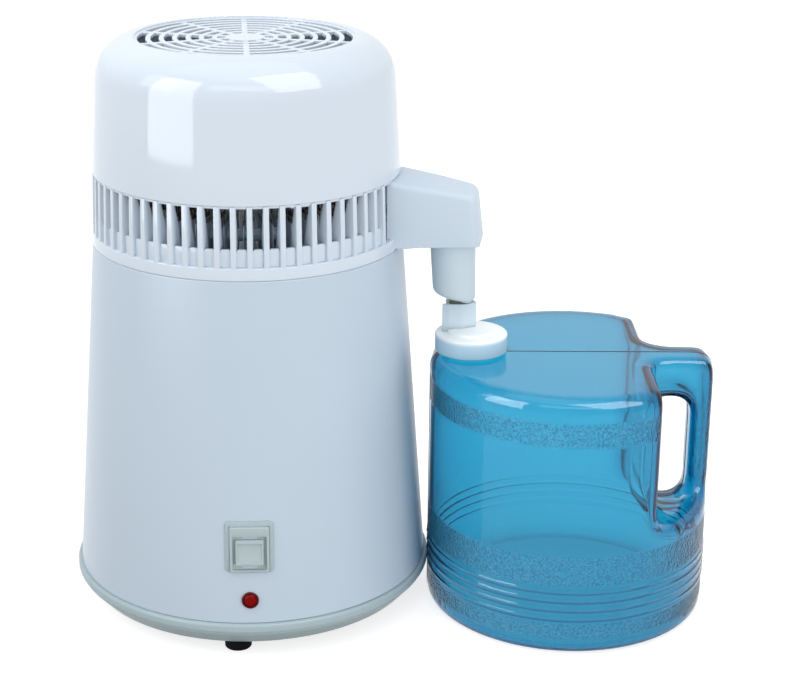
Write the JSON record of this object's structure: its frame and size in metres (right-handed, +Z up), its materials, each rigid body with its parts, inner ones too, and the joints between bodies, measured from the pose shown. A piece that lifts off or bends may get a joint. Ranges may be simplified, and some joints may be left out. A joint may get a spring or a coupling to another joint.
{
  "type": "water distiller",
  "caption": "Countertop water distiller: tapered boiler with a lift-off fan head and arm, which drips through a filter cup into a jug with a handle.",
  "frame": {"origin": "on the counter, on the axis of the boiler", "axes": "+Z up, +X along the arm towards the jug, -Y towards the user"},
  "size_m": [0.4186, 0.2372, 0.3714],
  "materials": {
    "white_plastic": "glossy",
    "switch_plastic": "satin",
    "steel": "brushed",
    "grey_plastic": "matt",
    "aluminium": "mill finish",
    "brass": "plain",
    "dark_plastic": "matt",
    "black_rubber": "matt",
    "silicone": "matt",
    "clear_cover": "satin",
    "red_lens": "glossy",
    "blue_plastic": "glossy",
    "cloth": "woven"
  },
  "bodies": {
    "boiler": {"base_tray": "white_plastic", "rubber_feet": "black_rubber", "foot_screws": "steel", "outer_shell": "white_plastic", "pot_support_ring": "grey_plastic", "boiling_pot": "steel", "heating_element": "steel", "element_plate": "aluminium", "element_nuts": "brass", "thermostat": "dark_plastic", "thermal_cutout": "dark_plastic", "terminal_block": "dark_plastic", "switch_cover": "clear_cover", "switch_frame": "switch_plastic", "lamp_bezel": "dark_plastic", "lamp_lens": "red_lens", "mains_inlet": "dark_plastic", "inlet_screws": "steel", "contact_socket": "dark_plastic"},
    "head": {"slat_ring": "white_plastic", "head_plate": "steel", "head_gasket": "silicone", "plate_screws": "steel", "condenser_tube": "steel", "condenser_fins": "aluminium", "motor_bracket": "steel", "fan_motor": "dark_plastic", "bracket_screws": "steel", "head_screws": "steel", "dome_cover": "white_plastic", "contact_plug": "dark_plastic"},
    "rocker": {"switch_rocker": "switch_plastic"},
    "fan": {"fan_rotor": "dark_plastic", "fan_shaft": "steel"},
    "cup": {"filter_cup": "white_plastic", "charcoal_sachet": "cloth"},
    "jug": {"jug_body": "blue_plastic", "jug_shoulder": "blue_plastic", "jug_handle": "blue_plastic"},
    "cap": {"jug_cap": "white_plastic", "cap_seal": "silicone", "pour_tube": "white_plastic"}
  },
  "joints": [
    {"name": "head_lift", "type": "slide", "parent": "boiler", "child": "head", "axis": [0, 0, 1], "range_m": [0, 0.15]},
    {"name": "fan_spin", "type": "hinge", "parent": "head", "child": "fan", "pos_m": [0, 0, 0.3014], "axis": [0, 0, 1], "continuous": true},
    {"name": "switch_rock", "type": "hinge", "parent": "boiler", "child": "rocker", "pos_m": [0.01847, -0.10693, 0.07143], "axis": [0.9854, 0.1702, 0], "range_deg": [0, 12]},
    {"name": "cup_twist", "type": "hinge", "parent": "head", "child": "cup", "pos_m": [0.13129, 0, 0.245], "axis": [0, 0, 1], "range_deg": [0, 60]},
    {"name": "jug_slide", "type": "slide", "parent": "boiler", "child": "jug", "axis": [1, 0, 0], "range_m": [0, 0.15]},
    {"name": "cap_turn", "type": "hinge", "parent": "jug", "child": "cap", "pos_m": [0.1443, 0, 0.1844], "axis": [0, 0, 1], "continuous": true}
  ]
}
